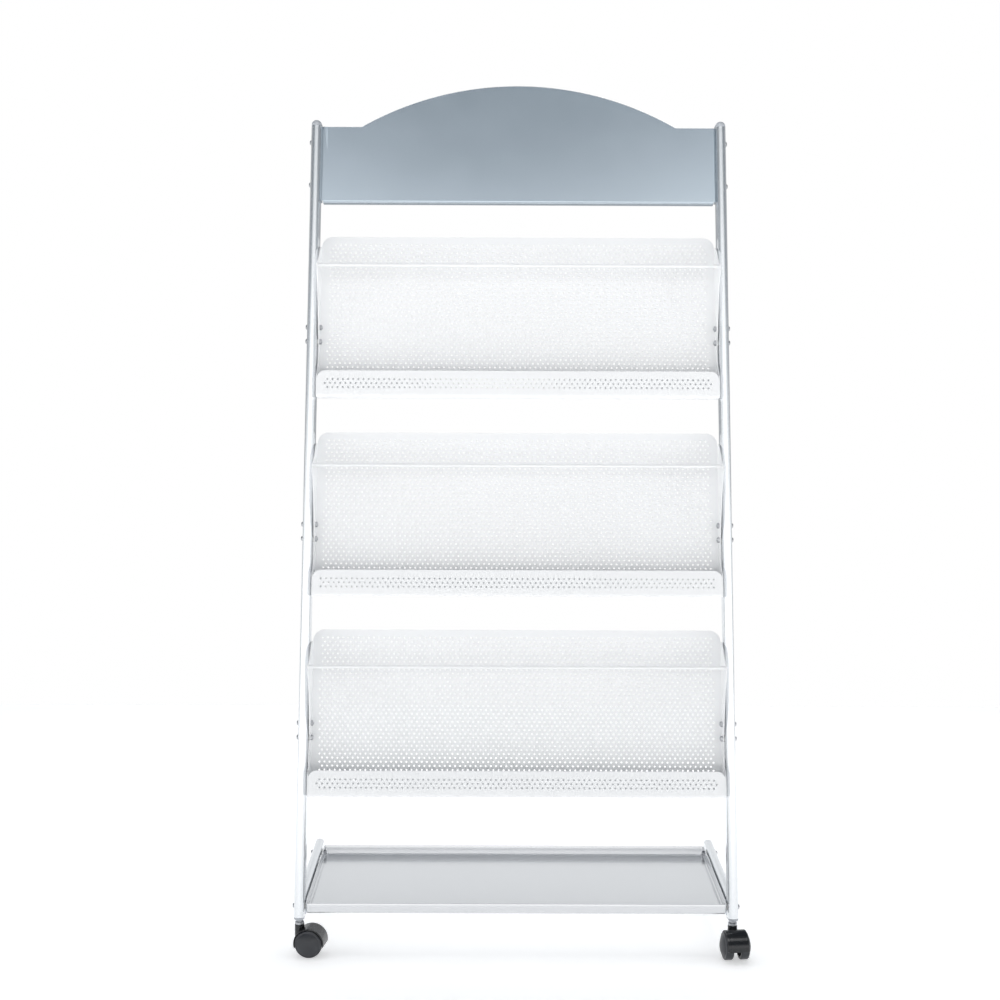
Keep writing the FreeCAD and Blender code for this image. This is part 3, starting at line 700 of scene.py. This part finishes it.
class SheetLayout:
    """The flat pattern of a pocket's sheet: X across, s along the sheet from its top edge."""

    def __init__(self, base):
        self.base = base
        self.inset = TUBE_WIDTH / 2 + WING_GAP + POCKET_SHEET
        self.path = pocket_path()
        self.length = self.path[-1][0]
        self.verts, self.faces, self.index = [], [], {}

    def on_path(self, s):
        for a, b in zip(self.path, self.path[1:]):
            if s <= b[0] + TINY:
                t = (s - a[0]) / (b[0] - a[0])
                return [u + (v - u) * t for u, v in zip(a[1:], b[1:])]
        return self.path[-1][1:]

    def reach(self, s):
        """Half the sheet's width, less at the rounded corners."""
        edge = half_width(self.base + self.on_path(s)[1], self.inset)
        for distance, radius in ((s, PANEL_CORNER), (self.length - s, LIP_CORNER)):
            if distance < radius:
                edge -= radius - math.sqrt(max(0.0, radius ** 2 - (radius - distance) ** 2))
        return edge

    def vertex(self, key, x, s):
        if key not in self.index:
            self.index[key] = len(self.verts)
            self.verts.append((x, s))
        return self.index[key]

    def grid_vertex(self, k, s):
        """Point k half pitches from the middle."""
        return self.vertex((k, round(s * 1000)), k * HOLE_PITCH / 2, s)

    def side_vertex(self, sign, s):
        """Point on the sheet's left or right edge."""
        x = sign * self.reach(s)
        return self.vertex(("x", round(x * 1000), round(s * 1000)), x, s)

    def add_ring(self, ring, flip):
        self.faces.append(tuple(reversed(ring)) if flip else tuple(ring))

    def row_span(self, row, s0, s1):
        """Half pitches from the middle to the end of a row of holes; odd rows are staggered."""
        limit = int((min(self.reach(s0), self.reach(s1)) - SIDE_MARGIN) / (HOLE_PITCH / 2))
        return limit - (limit + 1 + row) % 2

    def band(self, start, end):
        """Rows of holes between two lines, and each row's side margins; returns the band's ends."""
        count = int((end - start) / HOLE_ROW)
        first = start + (end - start - count * HOLE_ROW) / 2
        lines = [first + HOLE_ROW * i for i in range(count + 1)]
        spans = [self.row_span(i, lines[i], lines[i + 1]) for i in range(count)]
        borders = [max(spans[max(i - 1, 0):i + 1]) for i in range(count + 1)]
        triangles, offsets = cell_pattern()
        for i, span in enumerate(spans):
            s0, s1 = lines[i], lines[i + 1]
            for k in range(-span + 1, span, 2):
                cell = [self.grid_vertex(k + d, s) for d, s in
                        ((-1, s0), (0, s0), (1, s0), (1, s1), (0, s1), (-1, s1))]
                x, s = k * HOLE_PITCH / 2, (s0 + s1) / 2
                cell += range(len(self.verts), len(self.verts) + HOLE_SIDES)
                self.verts.extend((x + dx, s + ds) for dx, ds in offsets)
                self.faces.extend((cell[a], cell[b], cell[c]) for a, b, c in triangles)
            for sign in (-1, 1):
                edge = [self.side_vertex(sign, s)
                        for s in (s0, s0 + (s1 - s0) / 3, s0 + (s1 - s0) * 2 / 3, s1)]
                lower = [self.grid_vertex(sign * k, s0) for k in range(span, borders[i] + 1)]
                upper = [self.grid_vertex(sign * k, s1) for k in range(borders[i + 1], span - 1, -1)]
                self.add_ring(lower + edge + upper, sign < 0)
        return (lines[0], borders[0]), (lines[-1], borders[-1])

    def strip(self, s0, s1, span):
        """Plain strip between two lines of grid points, out to the sheet's sides."""
        for k in range(-span, span):
            self.faces.append((self.grid_vertex(k, s0), self.grid_vertex(k + 1, s0),
                               self.grid_vertex(k + 1, s1), self.grid_vertex(k, s1)))
        for sign in (-1, 1):
            self.add_ring([self.grid_vertex(sign * span, s0), self.side_vertex(sign, s0),
                           self.side_vertex(sign, s1), self.grid_vertex(sign * span, s1)], sign < 0)

    def end_strip(self, s_rows, span, s_end, radius):
        """Strip from the last line of grid points to a free edge with rounded corners."""
        middle = self.reach((s_rows + s_end) / 2)
        straight = int((middle - 2 * radius) / (HOLE_PITCH / 2))
        top = s_end < s_rows
        for k in range(-straight, straight):
            self.add_ring((self.grid_vertex(k, s_rows), self.grid_vertex(k + 1, s_rows),
                           self.grid_vertex(k + 1, s_end), self.grid_vertex(k, s_end)), top)
        for sign in (-1, 1):
            ring = [self.grid_vertex(sign * k, s_rows) for k in range(straight, span + 1)]
            ring.append(self.side_vertex(sign, s_rows))
            for a in quarter(CORNER_STEPS)[1:]:
                depth = abs(s_rows - s_end) * (1 - math.sin(a)) ** CORNER_CROWDING
                ring.append(self.side_vertex(sign, s_end + (depth if top else -depth)))
            ring.append(self.grid_vertex(sign * straight, s_end))
            self.add_ring(ring, (sign < 0) != top)

    def solid(self):
        """The folded sheet as one closed mesh, with walls along its edges and through its holes."""
        solid = []
        for offset in (POCKET_SHEET / 2, -POCKET_SHEET / 2):
            for x, s in self.verts:
                ahead, height, normal_ahead, normal_up = self.on_path(s)
                solid.append((x, -(ahead + offset * normal_ahead),
                              self.base + height + offset * normal_up))
        count = len(self.verts)
        faces = [tuple(v for k, v in enumerate(f) if v != f[k - 1]) for f in self.faces]
        shell = [f for f in faces if len(f) > 2]
        edges = dict.fromkeys(edge for f in shell for edge in zip(f, f[1:] + f[:1]))
        walls = [(b, a, a + count, b + count) for a, b in edges if (b, a) not in edges]
        back = [tuple(i + count for i in reversed(f)) for f in shell]
        return solid, shell + back + walls


def perforated_sheet(base):
    """A pocket's sheet: holes in the back panel and the lip, none in the folded bottom."""
    sheet = SheetLayout(base)
    panel_end, lip_start = sheet.path[1][0], sheet.path[-2][0]
    panel_top, panel_foot = sheet.band(TOP_MARGIN, panel_end - BEND_MARGIN)
    lip_foot, lip_top = sheet.band(lip_start + BEND_MARGIN, sheet.length - LIP_MARGIN)
    sheet.end_strip(*panel_top, 0.0, PANEL_CORNER)
    lines = [panel_foot[0]] + [row[0] for row in sheet.path[1:-1]] + [lip_foot[0]]
    span = min(panel_foot[1], lip_foot[1])
    for s0, s1 in zip(lines, lines[1:]):
        sheet.strip(s0, s1, span)
    sheet.end_strip(*lip_top, sheet.length, LIP_CORNER)
    return sheet.solid()


def wing_outline():
    """An end plate's outline: X ahead of the leg, Y up the leg."""
    rear = POCKET_BACK - POCKET_SHEET
    outline = [(rear, WING_TOP)]
    for a in quarter(WING_BACK_STEPS):
        outline.append((rear + WING_BACK_RADIUS * (1 - math.cos(a)),
                        WING_BACK_RADIUS * (1 - math.sin(a))))
    for a in quarter(WING_FRONT_STEPS):
        outline.append((POCKET_FRONT - WING_FRONT_RADIUS * (1 - math.sin(a)),
                        WING_FRONT_RADIUS * (1 - math.cos(a))))
    return outline + [tuple(p) for p in catmull(WING_CURVE, WING_CURVE_STEPS)]


def end_plate(side, base):
    """An end plate standing beside a leg, in the leg's frame."""
    face = TUBE_WIDTH / 2 + WING_GAP
    upright = Matrix(((0, 0, -1, -face if side > 0 else face + POCKET_SHEET),
                      (-1, 0, 0, 0),
                      (0, 1, 0, base),
                      (0, 0, 0, 1)))
    return moved(plate(wing_outline(), POCKET_SHEET), upright)


def wire_rod(height):
    """Straight wire with rounded ends, across X."""
    reach = half_width(height, TUBE_WIDTH / 2 + WING_GAP) + WIRE_STANDOUT
    profile = [(0.0, -reach)]
    for a in quarter(WIRE_TIP_STEPS)[1:]:
        profile.append((WIRE_RADIUS - WIRE_TIP + WIRE_TIP * math.sin(a),
                        -reach + WIRE_TIP * (1 - math.cos(a))))
    profile += [(r, -z) for r, z in reversed(profile)]
    across = Matrix.Rotation(math.radians(90), 4, "Y")
    return moved(revolve(profile, WIRE_SEGMENTS), Matrix.Translation((0, -WIRE_FRONT, height)) @ across)


for tier, name in enumerate(TIER_NAMES):
    base = TIER_BOTTOM + TIER_PITCH * tier
    rack_piece(name + "_perforated_sheet", perforated_sheet(base), TIER_FRAME,
               "white_sheet", name + "_pocket_perforated_sheet")
    rack_piece(name + "_front_wire", wire_rod(base + WIRE_HEIGHT), TIER_FRAME,
               "white_wire", name + "_pocket_front_wire")
    for hand, side in SIDES.items():
        rack_piece(name + "_" + hand + "_end_plate", end_plate(side, base), leg_frame(side),
                   "white_sheet", name + "_pocket_" + hand + "_end_plate")


# ---------------------------------------------------------------------------
# Bottom tray
# ---------------------------------------------------------------------------
TRAY_CORNER_STEPS = 6
TRAY_BEND_STEPS = 6
TRAY_MIN_CORNER = 0.4
TRAY_SUPPORT = 1.5
RIM_SOFTNESS = 0.35
RIM_CHAMFER = 0.1


def rounded_rectangle(inset, z):
    """The tray's outline at a height, inset from its outside."""
    half = TRAY_WIDTH / 2 - inset
    front = FOOT_Y + TRAY_FRONT + inset
    rear = FOOT_Y + TRAY_FRONT + TRAY_DEPTH - inset
    r = max(TRAY_MIN_CORNER, TRAY_CORNER - inset)
    ring = []
    for cx, cy, start in ((half - r, rear - r, 0), (-half + r, rear - r, 90),
                          (-half + r, front + r, 180), (half - r, front + r, 270)):
        for i in range(TRAY_CORNER_STEPS + 1):
            a = math.radians(start + 90 * i / TRAY_CORNER_STEPS)
            ring.append((cx + r * math.cos(a), cy + r * math.sin(a), z))
    return ring


def tray_shell():
    """Folded tray: outside up, over the rim and down inside to the floor."""
    rows = [(TRAY_BEND + TRAY_SUPPORT, TRAY_BOTTOM)]
    for a in quarter(TRAY_BEND_STEPS):
        rows.append((TRAY_BEND * (1 - math.sin(a)), TRAY_BOTTOM + TRAY_BEND * (1 - math.cos(a))))
    rim = [(0.0, TRAY_TOP - RIM_SOFTNESS), (RIM_CHAMFER, TRAY_TOP - RIM_CHAMFER),
           (RIM_SOFTNESS, TRAY_TOP)]
    rows += rim + [(TRAY_SHEET - inset, z) for inset, z in reversed(rim)]
    inner = TRAY_BEND - TRAY_SHEET
    for a in quarter(TRAY_BEND_STEPS):
        rows.append((TRAY_SHEET + inner * (1 - math.cos(a)),
                     TRAY_BOTTOM + TRAY_SHEET + inner * (1 - math.sin(a))))
    rows.append((TRAY_BEND + TRAY_SUPPORT, TRAY_BOTTOM + TRAY_SHEET))
    return loft([rounded_rectangle(inset, z) for inset, z in rows])


rack_piece("bottom_tray_shell", tray_shell(), Matrix(), "grey_sheet", "bottom_tray")


# ---------------------------------------------------------------------------
# Stage: pale floor, soft lights, surround and camera, in metres
# ---------------------------------------------------------------------------
FLOOR_X = 2.6
FLOOR_FRONT, FLOOR_REAR = -2.4, 1.5
FLOOR_COLOUR = (0.93, 0.93, 0.93)
FLOOR_ROUGHNESS = 0.7
FLOOR_SPECULAR = 0.2
FLOOR_GLOW = 0.46
WHITE_LIGHT = (1, 1, 1, 1)

# Name, place, target, size, power in watts, whether it lights matt surfaces, whether it is reflected.
LIGHTS = (
    ("key_softbox", (-2.6, -2.7, 0.8), (0, 0, 0.4), (2.2, 1.6), 4, True, False),
    ("fill_softbox", (2.7, -2.6, 0.8), (0, 0, 0.4), (2.2, 1.6), 3.5, True, False),
    ("left_softbox", (-2.5, -0.5, 0.8), (0, -0.1, 0.7), (1.8, 1.6), 15, True, False),
    ("right_softbox", (2.5, -0.5, 0.8), (0, -0.1, 0.7), (1.8, 1.6), 15, True, False),
    ("top_softbox", (0, 1.1, 3.2), (0, 1.1, 0), (3.6, 3.0), 54, True, False),
    ("hood_softbox", (0, -1.6, 2.9), (0, -0.1, 0.1), (2.4, 1.0), 52, False, True),
    ("back_softbox", (0, 1.05, 0.31), (0, 0, 0.31), (4.4, 0.52), 3.9, True, True),
)


def floor():
    """Pale floor, lit from within a little so that it fades into the white surround."""
    mesh = bpy.data.meshes.new("floor")
    mesh.from_pydata([(-FLOOR_X, FLOOR_FRONT, 0), (FLOOR_X, FLOOR_FRONT, 0),
                      (FLOOR_X, FLOOR_REAR, 0), (-FLOOR_X, FLOOR_REAR, 0)], [], [(0, 1, 2, 3)])
    obj = bpy.data.objects.new("floor", mesh)
    bpy.context.scene.collection.objects.link(obj)
    mat, nodes, links, shader = new_material("pale_floor", FLOOR_COLOUR, 0.0, FLOOR_ROUGHNESS)
    links.new(tint(nodes, links, noise(nodes, links, 3.0), (0.925, 0.925, 0.925), (0.935, 0.935, 0.935)),
              shader.inputs["Base Color"])
    shader.inputs["Specular IOR Level"].default_value = FLOOR_SPECULAR
    shader.inputs["Emission Color"].default_value = WHITE_LIGHT
    shader.inputs["Emission Strength"].default_value = FLOOR_GLOW
    mesh.materials.append(mat)


def area_light(name, location, target, size, power, diffuse, glossy):
    """Softbox aimed at a target and hidden from the camera."""
    data = bpy.data.lights.new(name, "AREA")
    data.shape = "RECTANGLE"
    data.size, data.size_y = size
    data.energy = power
    obj = bpy.data.objects.new(name, data)
    obj.visible_camera = False
    obj.visible_diffuse = diffuse
    obj.visible_glossy = glossy
    obj.location = location
    obj.rotation_euler = (Vector(target) - Vector(location)).to_track_quat("-Z", "Y").to_euler()
    bpy.context.scene.collection.objects.link(obj)


floor()
for light in LIGHTS:
    area_light(*light)

# Surround colours by the sine of the elevation, in front of the rack and behind it.
FRONT_STOPS = (
    (0.00, (1.00, 1.00, 1.00)),
    (0.20, (0.98, 0.98, 0.98)),
    (0.33, (0.95, 0.955, 0.96)),
    (0.375, (0.37, 0.39, 0.41)),
    (0.42, (0.10, 0.12, 0.14)),
    (0.60, (0.05, 0.06, 0.07)),
    (1.00, (0.08, 0.09, 0.10)),
)
BACK_STOPS = (
    (0.00, (0.26, 0.27, 0.28)),
    (0.42, (0.26, 0.27, 0.28)),
    (0.56, (0.08, 0.09, 0.11)),
    (1.00, (0.04, 0.05, 0.06)),
)
SURROUND_STRENGTH = 1.55
BACK_FROM, FRONT_FROM = 0.30, -0.10
SIDE_RISE = 0.27
MIDDLE_RISE = 0.045
MIDDLE_WIDTH = 0.018


def height_ramp(nodes, links, height, stops):
    """Colour by the sine of a direction's elevation."""
    ramp = nodes.new("ShaderNodeValToRGB")
    elements = ramp.color_ramp.elements
    while len(elements) < len(stops):
        elements.new(0.5)
    for element, (position, colour) in zip(elements, stops):
        element.position = position
        element.color = (*colour, 1)
    links.new(height, ramp.inputs["Fac"])
    return ramp.outputs["Color"]


def studio_world():
    """White to the camera; around the object, bright low in front, dim low behind and above."""
    world = bpy.data.worlds.new("studio")
    bpy.context.scene.world = world
    world.use_nodes = True
    nodes, links = world.node_tree.nodes, world.node_tree.links
    nodes.clear()
    coords = nodes.new("ShaderNodeTexCoord")
    split = nodes.new("ShaderNodeSeparateXYZ")
    links.new(coords.outputs["Generated"], split.inputs["Vector"])
    front = nodes.new("ShaderNodeMapRange")
    front.interpolation_type = "SMOOTHSTEP"
    front.inputs["From Min"].default_value = BACK_FROM
    front.inputs["From Max"].default_value = FRONT_FROM
    links.new(split.outputs["Y"], front.inputs["Value"])
    sides = nodes.new("ShaderNodeMix")
    sides.data_type = "RGBA"
    links.new(front.outputs["Result"], sides.inputs[0])
    links.new(height_ramp(nodes, links, split.outputs["Z"], BACK_STOPS), sides.inputs[6])
    across = nodes.new("ShaderNodeMath")
    across.operation = "MULTIPLY"
    links.new(split.outputs["X"], across.inputs[0])
    links.new(split.outputs["X"], across.inputs[1])
    raised = plus(nodes, links, split.outputs["Z"], across.outputs[0], SIDE_RISE)
    middle = remap(nodes, links, across.outputs[0], MIDDLE_RISE, 0.0, 0.0, MIDDLE_WIDTH)
    raised = plus(nodes, links, raised, middle, 1.0)
    links.new(height_ramp(nodes, links, raised, FRONT_STOPS), sides.inputs[7])
    around = nodes.new("ShaderNodeBackground")
    around.inputs["Strength"].default_value = SURROUND_STRENGTH
    links.new(sides.outputs[2], around.inputs["Color"])
    seen = nodes.new("ShaderNodeBackground")
    seen.inputs["Color"].default_value = WHITE_LIGHT
    path = nodes.new("ShaderNodeLightPath")
    choice = nodes.new("ShaderNodeMixShader")
    output = nodes.new("ShaderNodeOutputWorld")
    links.new(path.outputs["Is Camera Ray"], choice.inputs["Fac"])
    links.new(around.outputs["Background"], choice.inputs[1])
    links.new(seen.outputs["Background"], choice.inputs[2])
    links.new(choice.outputs["Shader"], output.inputs["Surface"])


studio_world()
bpy.context.scene.view_settings.view_transform = "Standard"

CAMERA_PITCH = math.radians(5.944)
CAMERA_YAW = math.radians(-0.154)
CAMERA_ROLL = math.radians(0.218)
CAMERA_PLACE = (-0.0323, -2.431 + FOOT_Y * MM, 0.9188)
camera_data = bpy.data.cameras.new("camera")
camera_data.sensor_width = 36.0
camera_data.lens = 62.05
camera = bpy.data.objects.new("camera", camera_data)
camera.matrix_world = (Matrix.Translation(CAMERA_PLACE)
                       @ Matrix.Rotation(CAMERA_YAW, 4, "Z")
                       @ Matrix.Rotation(math.pi / 2 - CAMERA_PITCH, 4, "X")
                       @ Matrix.Rotation(CAMERA_ROLL, 4, "Z"))
bpy.context.scene.collection.objects.link(camera)
bpy.context.scene.camera = camera
